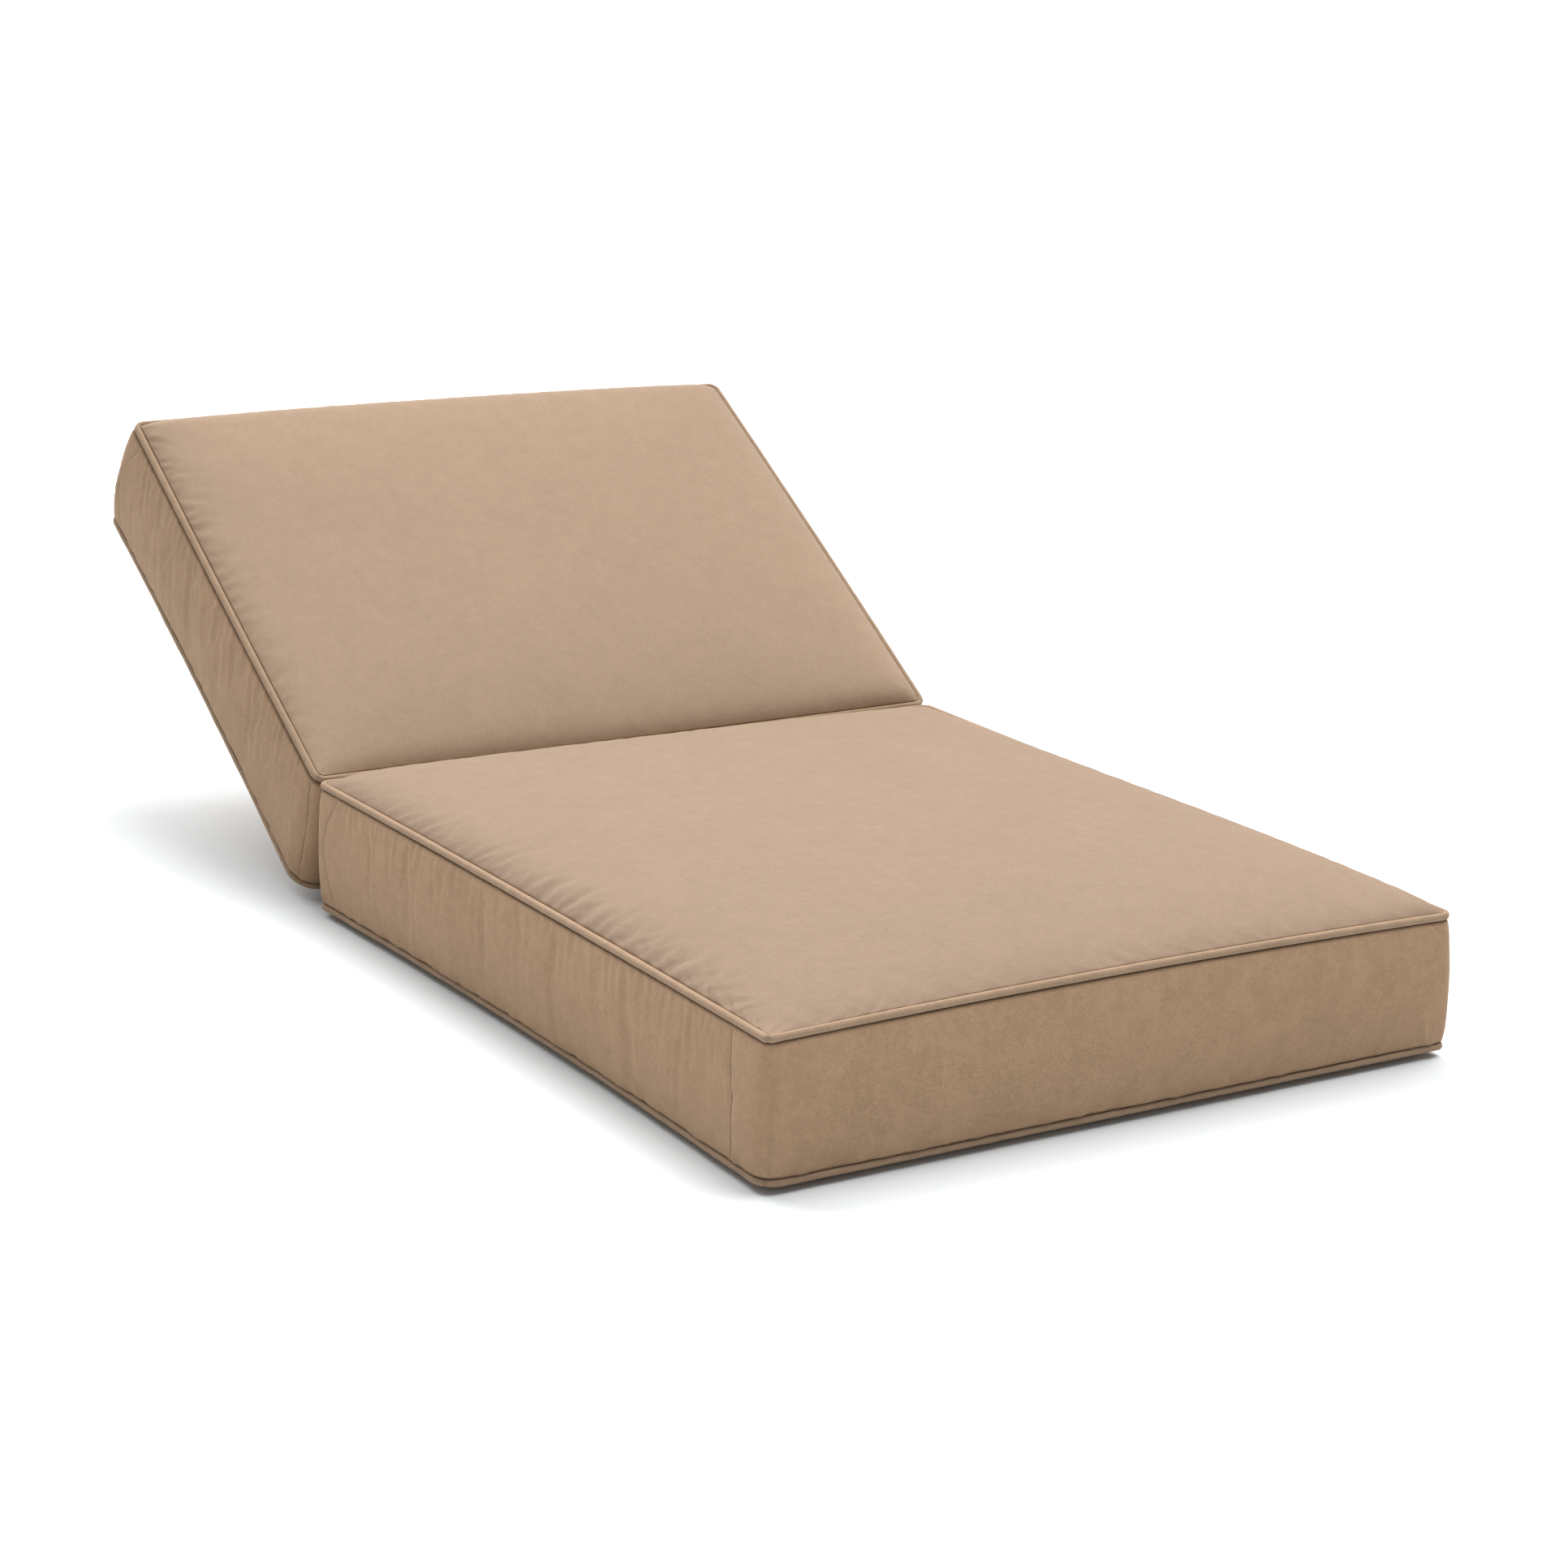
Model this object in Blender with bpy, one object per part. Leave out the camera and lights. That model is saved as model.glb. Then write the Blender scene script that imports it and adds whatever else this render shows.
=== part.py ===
# Sun lounger cushion: a deep box-edged seat cushion lying flat and a back cushion
# raised behind it, each with a piped seam round its upper and its lower panel.
# Metres, +Z up. X runs across the lounger, +Y toward the head end.

import math

import bmesh
import bpy
import numpy as np
from mathutils import Matrix, Vector

SEAT_WIDTH = 1.000  # between the welts' centre lines
SEAT_LENGTH = 1.157
SEAT_THICKNESS = 0.172
BACK_WIDTH = 1.002
BACK_LENGTH = 0.744
BACK_THICKNESS = 0.1826
RECLINE = math.radians(31.5)  # the back's face above the horizontal
BACK_SHIFT = 0.0016  # the back sits a little to the right of the seat
HINGE_GAP = 0.0152  # from the seat's rear welt to the back's lower welt, at the corners
HINGE_RISE = 0.0017
WELT_RADIUS = 0.005
NEST_GAP = 0.0006  # from a welt to the bottom of the groove it lies in
SEAM_RUN = 0.011  # where the panels and the boxing leave a welt
SEAM_NEST = 0.0065  # where the panels turn down to the seam
SIDE_INSET = 0.0005  # the boxing's edge, inside the welt's centre line
ROLL_RUN = 0.017  # how quickly the upper panel rises beside its welt
CROWN_POWER = 3.6  # higher is flatter in the middle
UNDER_DEPTH = 0.013  # the lower panel's flat field, under the welt's centre line
UNDER_RUN = 0.035  # where the lower panel becomes flat
UNDER_POWER = 0.7
PANEL_LINES = (0.0, SEAM_NEST, SEAM_RUN, 0.020, 0.035, 0.062)  # grid lines from each edge of a panel
PANEL_STEP = 0.075
SIDE_LINES = (0.0, SEAM_RUN - WELT_RADIUS, 0.026)  # grid lines from each edge of the boxing
SIDE_STEP = 0.030
SNAP = 1e-6

FABRIC = (0.515, 0.372, 0.262, 1.0)
WELT_FABRIC = (0.545, 0.396, 0.283, 1.0)

# Insets of the seams at mid length (drawn-in sides), by side: lower seam, upper seam.
SEAT_BOWS = {
    "left": (0.012, 0.005),
    "right": (0.008, 0.004),
    "foot": (0.001, 0.000),
    "head": (0.002, -0.0035),
}
BACK_BOWS = {
    "left": (0.004, -0.0015),
    "right": (0.003, -0.0020),
    "foot": (0.000, -0.0021),
    "head": (0.002, -0.0085),
}
# Corner radii of the seams, by corner and level (lower seam, upper seam).
SEAT_CORNERS = {
    ("left", "foot"): (0.026, 0.012),
    ("right", "foot"): (0.008, 0.010),
    ("left", "head"): (0.014, 0.012),
    ("right", "head"): (0.014, 0.012),
}
BACK_CORNERS = {
    ("left", "foot"): (0.036, 0.014),
    ("right", "foot"): (0.036, 0.014),
    ("left", "head"): (0.014, 0.012),
    ("right", "head"): (0.014, 0.012),
}


def bow(t):
    """One at the middle of an edge and nought at its ends."""
    return 1.0 - (2.0 * t - 1.0) ** 2


def stations(length, near, step):
    """Places of the grid lines along an edge: close together at both ends, even between them."""
    inner = np.linspace(near[-1], length - near[-1], max(2, round((length - 2 * near[-1]) / step) + 1))
    ends = np.array(near[:-1])
    return np.concatenate([ends, inner, length - ends[::-1]])


class BoxCushion:
    """The form of one box cushion, from the distances x, y and z of a point of its plain box."""

    def __init__(self, width, length, thickness, bows, corners, crown, roll, bulge, foot_run, rises):
        self.width, self.length, self.thickness = width, length, thickness
        self.bows, self.corners = bows, corners
        self.crown, self.roll, self.bulge = crown, roll, bulge
        self.foot_run, self.rises = foot_run, rises

    def outline(self, x, y, level, inset):
        """Carries a point of the plain rectangle to the bowed rectangle with round corners."""
        u, v = x / self.width, y / self.length
        pulled = {side: lower + (upper - lower) * level for side, (lower, upper) in self.bows.items()}
        left = pulled["left"] * bow(v)
        right = self.width - pulled["right"] * bow(v)
        foot = pulled["foot"] * bow(u) - self.foot_run * (1.0 - level)
        head = self.length - pulled["head"] * bow(u)
        px = left + (right - left) * u + inset * ((u == 0) - (u == 1))
        py = foot + (head - foot) * v + inset * ((v == 0) - (v == 1))
        side, edge_x, inward_x = ("left", left, 1.0) if u < 0.5 else ("right", right, -1.0)
        end, edge_y, inward_y = ("foot", foot, 1.0) if v < 0.5 else ("head", head, -1.0)
        lower, upper = self.corners[side, end]
        radius = lower + (upper - lower) * level
        # Within the corner's square, distances from its inner corner become distances from the arc's centre.
        cx, cy = edge_x + inward_x * radius, edge_y + inward_y * radius
        dx, dy = (cx - px) * inward_x, (cy - py) * inward_y
        if dx > 0.0 and dy > 0.0:
            squash = max(dx, dy) / math.hypot(dx, dy)
            px, py = cx - inward_x * dx * squash, cy - inward_y * dy * squash
        return px, py

    def lift(self, x, y):
        """Height of the upper panel over its seam: a broad crown and a quick rise next to the welt."""
        u, v = x / self.width, y / self.length
        height, foot_share = self.crown
        broad = (1.0 - abs(2.0 * u - 1.0) ** CROWN_POWER) * (1.0 - abs(2.0 * v - 1.0) ** CROWN_POWER)
        rise = 1.0
        for gap in (x, self.width - x, y, self.length - y):
            rise *= 1.0 - math.exp(-max(gap - SEAM_NEST, 0.0) / ROLL_RUN)
        return height * broad * (1.0 + foot_share * (0.5 - v)) + self.roll * rise

    def seam_height(self, x, y):
        """Rise of the upper seam toward the middle of the foot, the head and the right side."""
        u, v = x / self.width, y / self.length
        foot, head, right = self.rises
        return foot * bow(u) * (1.0 - v) ** 2 + head * bow(u) * v**2 + right * bow(v) * u**2

    def welt_point(self, x, y, level):
        px, py = self.outline(x, y, level, 0.0)
        return Vector((px, py, level * (self.thickness + self.seam_height(x, y))))

    def surface_point(self, x, y, z):
        """Carries a point of the plain box's surface to the cushion's surface."""
        level = z / self.thickness
        on_edge = x in (0.0, self.width) or y in (0.0, self.length)
        nest = (WELT_RADIUS + NEST_GAP) / math.sqrt(2.0)
        top = self.thickness + self.seam_height(x, y)
        if level in (0.0, 1.0):
            px, py = self.outline(x, y, level, nest)
            if on_edge:
                return Vector((px, py, nest if level == 0.0 else top - nest))
            if level == 1.0:
                return Vector((px, py, top + self.lift(x, y)))
            near = min(x, self.width - x, y, self.length - y)
            share = (near - SEAM_NEST / 2) / (UNDER_RUN - SEAM_NEST / 2)
            return Vector((px, py, -UNDER_DEPTH * (1.0 if share > 1.0 - SNAP else share**UNDER_POWER)))
        along = bow(y / self.length) if x in (0.0, self.width) else bow(x / self.width)
        swell = (self.bulge[0] + (self.bulge[1] - self.bulge[0]) * along) * math.sin(math.pi * level) ** 0.8
        px, py = self.outline(x, y, level, SIDE_INSET - swell)
        return Vector((px, py, level * top))


SEAT = BoxCushion(SEAT_WIDTH, SEAT_LENGTH, SEAT_THICKNESS, SEAT_BOWS, SEAT_CORNERS,
                  crown=(0.030, 1.2), roll=0.021, bulge=(0.010, 0.012),
                  foot_run=0.0, rises=(0.0066, 0.0, 0.001))
FOOT_RUN = (SEAT_THICKNESS + HINGE_RISE - BACK_THICKNESS * math.cos(RECLINE)) / math.sin(RECLINE)
BACK = BoxCushion(BACK_WIDTH, BACK_LENGTH, BACK_THICKNESS, BACK_BOWS, BACK_CORNERS,
                  crown=(0.022, 0.0), roll=0.020, bulge=(0.013, 0.013),
                  foot_run=FOOT_RUN, rises=(0.0, 0.0, 0.0))


def material(name, colour):
    found = bpy.data.materials.get(name)
    if found:
        return found
    made = bpy.data.materials.new(name)
    made.use_nodes = True
    shader = made.node_tree.nodes["Principled BSDF"]
    shader.inputs["Base Color"].default_value = colour
    shader.inputs["Roughness"].default_value = 0.9
    shader.inputs["Metallic"].default_value = 0.0
    return made


def grid_lines(form):
    return stations(form.width, PANEL_LINES, PANEL_STEP), stations(form.length, PANEL_LINES, PANEL_STEP)


def add_cushion(name, form, placing, collection):
    """A cube cut along its grid lines, with each corner of the grid carried to the cushion's form."""
    xs, ys = grid_lines(form)
    zs = stations(form.thickness, SIDE_LINES, SIDE_STEP)
    size = (form.width, form.length, form.thickness)
    bm = bmesh.new()
    stretch = Matrix.Diagonal((*size, 1.0)) @ Matrix.Translation((0.5, 0.5, 0.5))
    bmesh.ops.create_cube(bm, size=1.0, matrix=stretch)
    for axis, cuts in enumerate((xs, ys, zs)):
        normal = Vector([float(i == axis) for i in range(3)])
        for cut in cuts:
            if SNAP < cut < size[axis] - SNAP:
                whole = bm.verts[:] + bm.edges[:] + bm.faces[:]
                place = normal * float(cut)
                bmesh.ops.bisect_plane(bm, geom=whole, plane_co=place, plane_no=normal, dist=SNAP)
    for vert in bm.verts:
        box = [0.0 if c < SNAP else (full if c > full - SNAP else c) for c, full in zip(vert.co, size)]
        vert.co = form.surface_point(*box)
    bmesh.ops.recalc_face_normals(bm, faces=bm.faces[:])
    mesh = bpy.data.meshes.new(name)
    bm.to_mesh(mesh)
    bm.free()
    mesh.shade_smooth()
    mesh.materials.append(material("cushion_fabric", FABRIC))
    cushion = bpy.data.objects.new(name, mesh)
    cushion.matrix_world = placing
    collection.objects.link(cushion)
    return cushion


def add_welt(name, form, level, placing, collection):
    """A covered cord sewn into the seam: a closed round tube along the seam's line."""
    xs, ys = grid_lines(form)
    loop = [(x, 0.0) for x in xs] + [(form.width, y) for y in ys[1:]]
    loop += [(x, form.length) for x in xs[-2::-1]] + [(0.0, y) for y in ys[-2:0:-1]]
    curve = bpy.data.curves.new(name, "CURVE")
    curve.dimensions = "3D"
    curve.bevel_depth = WELT_RADIUS
    curve.bevel_resolution = 2
    spline = curve.splines.new("POLY")
    spline.points.add(len(loop) - 1)
    for point, (x, y) in zip(spline.points, loop):
        point.co = form.welt_point(float(x), float(y), level).to_4d()
    spline.use_cyclic_u = True
    curve.materials.append(material("welt_fabric", WELT_FABRIC))
    welt = bpy.data.objects.new(name, curve)
    welt.matrix_world = placing
    collection.objects.link(welt)
    return welt


def centre_over_origin(parts):
    """Moves the parts together so that the origin lies under the middle of their box, on the floor."""
    bpy.context.view_layer.update()
    depsgraph = bpy.context.evaluated_depsgraph_get()
    points = []
    for part in parts:
        shape = part.evaluated_get(depsgraph)
        points += [part.matrix_world @ vert.co for vert in shape.to_mesh().vertices]
        shape.to_mesh_clear()
    low, high = np.min(points, axis=0), np.max(points, axis=0)
    shift = Vector((-(low[0] + high[0]) / 2, -(low[1] + high[1]) / 2, 0.0))
    for part in parts:
        part.location += shift


def main():
    for old in list(bpy.data.objects):
        bpy.data.objects.remove(old, do_unlink=True)
    collection = bpy.data.collections.new("sun_lounger_cushion")
    bpy.context.scene.collection.children.link(collection)

    hinge = Vector((BACK_SHIFT, SEAT_LENGTH + HINGE_GAP, SEAT_THICKNESS + HINGE_RISE))
    back_turn = Matrix.Rotation(RECLINE, 4, "X")
    on_floor = Vector((0.0, 0.0, UNDER_DEPTH))
    seat_place = Matrix.Translation(on_floor)
    down = Matrix.Translation((0.0, 0.0, -BACK_THICKNESS))
    back_place = Matrix.Translation(on_floor + hinge) @ back_turn @ down

    parts = [
        add_cushion("seat_cushion", SEAT, seat_place, collection),
        add_welt("seat_welt_top", SEAT, 1.0, seat_place, collection),
        add_welt("seat_welt_bottom", SEAT, 0.0, seat_place, collection),
        add_cushion("back_cushion", BACK, back_place, collection),
        add_welt("back_welt_front", BACK, 1.0, back_place, collection),
        add_welt("back_welt_rear", BACK, 0.0, back_place, collection),
    ]
    centre_over_origin(parts)


main()
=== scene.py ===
import math
import bpy
import numpy as np
from mathutils import Matrix, Vector


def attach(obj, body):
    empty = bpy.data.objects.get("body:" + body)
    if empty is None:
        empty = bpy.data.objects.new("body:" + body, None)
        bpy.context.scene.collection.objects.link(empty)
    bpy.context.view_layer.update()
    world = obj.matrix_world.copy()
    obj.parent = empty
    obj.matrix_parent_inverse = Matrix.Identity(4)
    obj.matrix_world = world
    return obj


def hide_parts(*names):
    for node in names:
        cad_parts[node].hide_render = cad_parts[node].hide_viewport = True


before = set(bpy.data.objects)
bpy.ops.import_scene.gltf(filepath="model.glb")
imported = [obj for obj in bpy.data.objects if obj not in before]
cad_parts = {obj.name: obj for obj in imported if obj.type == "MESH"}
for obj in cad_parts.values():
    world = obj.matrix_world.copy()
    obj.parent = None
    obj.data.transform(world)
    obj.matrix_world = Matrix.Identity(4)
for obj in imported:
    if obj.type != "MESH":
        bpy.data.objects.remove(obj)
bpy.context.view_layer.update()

camera = {"azimuth": -32.5475, "elevation": 15.4583, "roll": -1.8242,
          "place": (-2.44364, -4.00525, 1.4775), "lens": 80.376, "sensor": 36.0}


def addCamera(spec):
    # Looks along minus the direction (sin a cos e, -cos a cos e, sin e), then turns about that line by roll
    a, e, r = (math.radians(spec[k]) for k in ("azimuth", "elevation", "roll"))
    back = Vector((math.sin(a) * math.cos(e), -math.cos(a) * math.cos(e), math.sin(e)))
    level = (-back).cross(Vector((0, 0, 1))).normalized()
    drop = (-back).cross(level)
    right = level * math.cos(r) + drop * math.sin(r)
    down = drop * math.cos(r) - level * math.sin(r)
    data = bpy.data.cameras.new("camera")
    data.lens = spec["lens"]
    data.sensor_width = spec["sensor"]
    data.sensor_fit = "HORIZONTAL"
    data.clip_start, data.clip_end = 0.05, 200
    made = bpy.data.objects.new("camera", data)
    bpy.context.scene.collection.objects.link(made)
    made.matrix_world = Matrix.Translation(spec["place"]) @ Matrix((right, -down, back)).transposed().to_4x4()
    bpy.context.scene.camera = made


addCamera(camera)

# The forms of the two cushions, in metres; bows and corner radii are pairs of lower and upper seam
weltRadius = 0.005
seat = {
    "width": 1.000, "length": 1.157, "thickness": 0.172,
    "bows": {"left": (0.012, 0.005), "right": (0.008, 0.004), "foot": (0.001, 0.0), "head": (0.002, -0.0035)},
    "corners": {"leftFoot": (0.026, 0.007), "rightFoot": (0.008, 0.016),
                "leftHead": (0.014, 0.012), "rightHead": (0.014, 0.012)},
    "crown": (0.030, 1.2), "roll": (0.021, 0.25), "runs": (0.020, 0.012, 0.013, 0.020), "rightRun": 0.012,
    "low": {"foot": 0.62, "left": 0.0}, "bulge": (0.008, 0.012, 0.32, 0.45),
    "footRun": 0.0, "rises": (0.0066, 0.0, 0.001), "flare": (0.003, 0.060),
    "cells": (272, 316), "turn": 0.0, "place": (-0.50264, -0.94785, 0.013),
}
back = {
    "width": 1.002, "length": 0.744, "thickness": 0.1826,
    "bows": {"left": (0.004, -0.0015), "right": (0.003, -0.0020), "foot": (0.0, -0.0021),
             "head": (0.002, -0.0048)},
    "corners": {"leftFoot": (0.036, 0.014), "rightFoot": (0.036, 0.014),
                "leftHead": (0.014, 0.012), "rightHead": (0.014, 0.012)},
    "crown": (0.022, 0.0), "roll": (0.0240, 0.0), "runs": (0.014, 0.018, 0.011, 0.0070), "rightRun": 0.0,
    "low": {"foot": 0.45, "left": 0.38}, "bulge": (0.013, 0.013, 0.60, 0.35),
    "footRun": 0.03443, "rises": (0.0, 0.0, 0.0), "flare": (0.0, 0.060),
    "cells": (272, 204), "turn": 31.5, "place": (-0.50104, 0.31976, 0.03101),
}
# How a cover lies beside its welts: gap round the cord, angles where the panel and the boxing leave it, and
# how many times that reach the boxing's first row is from the seam
tuck = {"gap": 0.0004, "panelAngle": 38.0, "boxAngle": -104.0, "steps": 8, "clear": 1.25,
        "boxInset": 0.0008, "boxRun": 0.004, "slideFrom": 0.005}
panelInsets = (0.0052, 0.0064, 0.0080, 0.0100, 0.0125, 0.0155, 0.0190, 0.0230, 0.0275, 0.0325, 0.038, 0.044,
               0.051, 0.059, 0.069, 0.081, 0.095)
underInsets = (0.095, 0.060, 0.038, 0.030, 0.023, 0.017, 0.0120, 0.0085, 0.0066, 0.0052)
# The lower panel swells below its welt and is flat inside this run
underField = {"depth": 0.013, "run": 0.035, "power": 0.7}
# The upper panel: powers of its crown, and where its roll is lower, beside the foot and the left welt
upperField = {"crown": 3.6, "footCrown": 2.6, "footReach": 0.10, "leftReach": 0.08, "edge": 10}
boxRows = 31
boxEase, boxEven = 0.55, 0.45  # shares of the boxing's rows drawn toward its seams and evenly spaced
pull = 0.32  # how far the steps of a side are drawn toward its corners
coarse = 4  # one step of the middle of a panel spans this many steps of its edge
middleGap = 0.013  # from a panel's last loop to its middle grid


def bow(t):
    return 1 - (2 * t - 1) ** 2  # one at the middle, nought at the ends


def stations(length, count):
    # Even steps drawn toward both ends by a sine, so that the corners get the shorter steps
    t = np.linspace(0, 1, count + 1)
    return length * (t - pull * np.sin(2 * np.pi * t) / (2 * np.pi))


def loopPlaces(form):
    # Points round the plain rectangle, foot, right, head, left, counter-clockwise seen from above
    nx, ny = form["cells"]
    xs, ys = stations(form["width"], nx), stations(form["length"], ny)
    x = np.concatenate([xs[:-1], np.full(ny, form["width"]), xs[:0:-1], np.zeros(ny)])
    y = np.concatenate([np.zeros(nx), ys[:-1], np.full(nx, form["length"]), ys[:0:-1]])
    side = np.repeat([0, 1, 2, 3], [nx, ny, nx, ny])
    return x, y, side


def outline(form, x, y, level):
    # The rectangle with bowed sides and round corners: sides are pulled in by bow times their inset, and in a
    # corner's square the distances from its inner corner become distances from the arc's centre
    w, l = form["width"], form["length"]
    u, v = x / w, y / l
    pulled = {k: lo + (hi - lo) * level for k, (lo, hi) in form["bows"].items()}
    wide, run = form["flare"]
    left = pulled["left"] * bow(v)
    right = w - pulled["right"] * bow(v) + wide * (1 - level) * np.exp(-((y / run) ** 2))
    foot = pulled["foot"] * bow(u) - form["footRun"] * (1 - level)
    head = l - pulled["head"] * bow(u)
    px, py = left + (right - left) * u, foot + (head - foot) * v
    onLeft, onFoot = u < 0.5, v < 0.5
    corners = {k: lo + (hi - lo) * level for k, (lo, hi) in form["corners"].items()}
    radius = np.where(onLeft, np.where(onFoot, corners["leftFoot"], corners["leftHead"]),
                      np.where(onFoot, corners["rightFoot"], corners["rightHead"]))
    ix, iy = np.where(onLeft, 1.0, -1.0), np.where(onFoot, 1.0, -1.0)
    cx, cy = np.where(onLeft, left, right) + ix * radius, np.where(onFoot, foot, head) + iy * radius
    dx, dy = (cx - px) * ix, (cy - py) * iy
    inside = (dx > 0) & (dy > 0)
    squash = np.where(inside, np.maximum(dx, dy) / np.maximum(np.hypot(dx, dy), 1e-9), 1.0)
    return np.where(inside, cx - ix * dx * squash, px), np.where(inside, cy - iy * dy * squash, py)


def seamLine(form, level):
    # The welt's centre line at a level, and the level unit vectors that point into the cushion there
    x, y, _ = loopPlaces(form)
    px, py = outline(form, x, y, level)
    tx, ty = np.roll(px, -1) - np.roll(px, 1), np.roll(py, -1) - np.roll(py, 1)
    size = np.hypot(tx, ty)
    return px, py, -ty / size, tx / size


def seamTop(form, x, y):
    # Height of the upper seam, raised a little toward the middle of the foot, the head and the right side
    u, v = x / form["width"], y / form["length"]
    foot, head, right = form["rises"]
    return form["thickness"] + foot * bow(u) * (1 - v) ** 2 + head * bow(u) * v**2 + right * bow(v) * u**2


def lift(form, x, y):
    # Upper panel over its seam: from the lip beside the welt it rolls up as one minus exp(-gap/run) from all
    # four edges, and a broad crown, the product of one minus |2u-1|^power both ways, lies on top; toward the
    # head the roll is higher on the left than on the right, and close to the foot and the left welt it is
    # lower by a share that fades as exp(-distance/reach)
    w, l = form["width"], form["length"]
    reach = weltRadius + tuck["gap"]
    lip = reach * math.sin(math.radians(tuck["panelAngle"]))
    start = reach * math.cos(math.radians(tuck["panelAngle"]))
    rise = 1.0
    u, v = x / w, y / l
    left, right, foot, head = form["runs"]
    for gap, run in ((x, left), (w - x, right + form["rightRun"] * v), (y, foot), (l - y, head)):
        rise = rise * (1 - np.exp(-np.maximum(gap - start, 0) / run))
    roll = form["roll"][0] * (1 + form["roll"][1] * (1 - 2 * u) * v**2)
    edge = upperField["edge"]
    nearFoot, nearLeft = np.exp(-y / upperField["footReach"]), np.exp(-x / upperField["leftReach"])
    roll = roll * (1 - form["low"]["foot"] * nearFoot * (1 - np.clip(u, 0, 1) ** edge))
    roll = roll * (1 - form["low"]["left"] * nearLeft * (1 - np.clip(v, 0, 1) ** edge))
    height, footShare = form["crown"]
    across = np.clip(1 - np.abs(2 * u - 1) ** upperField["crown"], 0, 1)
    power = np.where(v < 0.5, upperField["footCrown"], upperField["crown"])
    along = np.clip(1 - np.abs(2 * v - 1) ** power, 0, 1)
    return lip + (roll - lip) * rise + height * across * along * (1 + footShare * (0.5 - v))


def panelRing(form, inset, level):
    # A loop of the panel at one distance from the seam: straight in from the seam for the first few
    # millimetres, then drawn evenly toward the middle
    x, y, _ = loopPlaces(form)
    w, l = form["width"], form["length"]
    slide = max(inset - tuck["slideFrom"], 0)
    straight = min(inset, tuck["slideFrom"])
    _, _, nx, ny = seamLine(form, level)
    sx, sy = x + slide * (1 - 2 * x / w), y + slide * (1 - 2 * y / l)
    px, py = outline(form, sx, sy, level)
    return px + nx * straight, py + ny * straight, sx + nx * straight, sy + ny * straight


def sleeve(form):
    # All loops of the cover from the middle of the lower panel over the boxing to that of the upper panel
    x, y, side = loopPlaces(form)
    top = seamTop(form, x, y)
    reach = weltRadius + tuck["gap"]
    rows, kinds, depths = [], [], []

    def put(px, py, pz, kind, depth):
        rows.append(np.stack([px, py, pz + 0 * px], -1))
        kinds.append(kind)
        depths.append(depth)

    lip = reach * math.sin(math.radians(tuck["panelAngle"]))
    start = reach * math.cos(math.radians(tuck["panelAngle"]))
    for inset in underInsets:
        px, py, _, _ = panelRing(form, inset, 0.0)
        share = min(1.0, (inset - start) / (underField["run"] - start))
        put(px, py, -lip - (underField["depth"] - lip) * share ** underField["power"], "under", inset)
    px, py, nx, ny = seamLine(form, 0.0)
    for angle in np.radians(np.linspace(-tuck["panelAngle"], -tuck["boxAngle"], tuck["steps"])):
        i, z = reach * math.cos(angle), reach * math.sin(angle)
        put(px + nx * i, py + ny * i, z, "wrap", 0.0)
    run = np.where((side == 0) | (side == 2), bow(x / form["width"]), bow(y / form["length"]))
    bulge = form["bulge"][0] + (form["bulge"][1] - form["bulge"][0]) * run
    first = reach * tuck["clear"] / form["thickness"]
    eased = (1 - np.cos(np.linspace(0, np.pi, boxRows))) / 2
    for t in eased * boxEase + np.linspace(0, 1, boxRows) * boxEven:
        level = first + (1 - 2 * first) * t
        px, py, nx, ny = seamLine(form, level)
        edge = np.exp(-min(t, 1 - t) * form["thickness"] / tuck["boxRun"])
        full = form["bulge"][2 if level < 0.5 else 3]
        i = tuck["boxInset"] * edge - bulge * math.sin(math.pi * level) ** full
        put(px + nx * i, py + ny * i, level * top, "box", level)
    px, py, nx, ny = seamLine(form, 1.0)
    for angle in np.radians(np.linspace(tuck["boxAngle"], tuck["panelAngle"], tuck["steps"])):
        i, z = reach * math.cos(angle), reach * math.sin(angle)
        put(px + nx * i, py + ny * i, top + z, "wrap", 0.0)
    for inset in panelInsets:
        px, py, bx, by = panelRing(form, inset, 1.0)
        put(px, py, seamTop(form, bx, by) + lift(form, bx, by), "panel", inset)
    return np.array(rows), np.array(kinds), np.array(depths)


def middle(form, level):
    # The inner field of a panel: a grid of every few edge steps, drawn in evenly from the last loop
    nx, ny = form["cells"]
    w, l = form["width"], form["length"]
    inset = panelInsets[-1] + middleGap
    xs, ys = stations(w, nx)[::coarse], stations(l, ny)[::coarse]
    bx, by = np.meshgrid(inset + xs * (w - 2 * inset) / w, inset + ys * (l - 2 * inset) / l)
    px, py = outline(form, bx, by, level)
    pz = seamTop(form, bx, by) + lift(form, bx, by) if level else np.full_like(px, -underField["depth"])
    return np.stack([px, py, pz], -1), bx, by


def noise1(rng, places, pitch, period):
    # Smooth wandering value along a closed line: random knots joined by a cosine blend
    count = max(4, int(round(period / pitch)))
    knots = rng.standard_normal(count)
    t = (places / period * count) % count
    k = np.floor(t).astype(int) % count
    f = t - np.floor(t)
    f = f * f * (3 - 2 * f)
    return knots[k] * (1 - f) + knots[(k + 1) % count] * f


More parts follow.
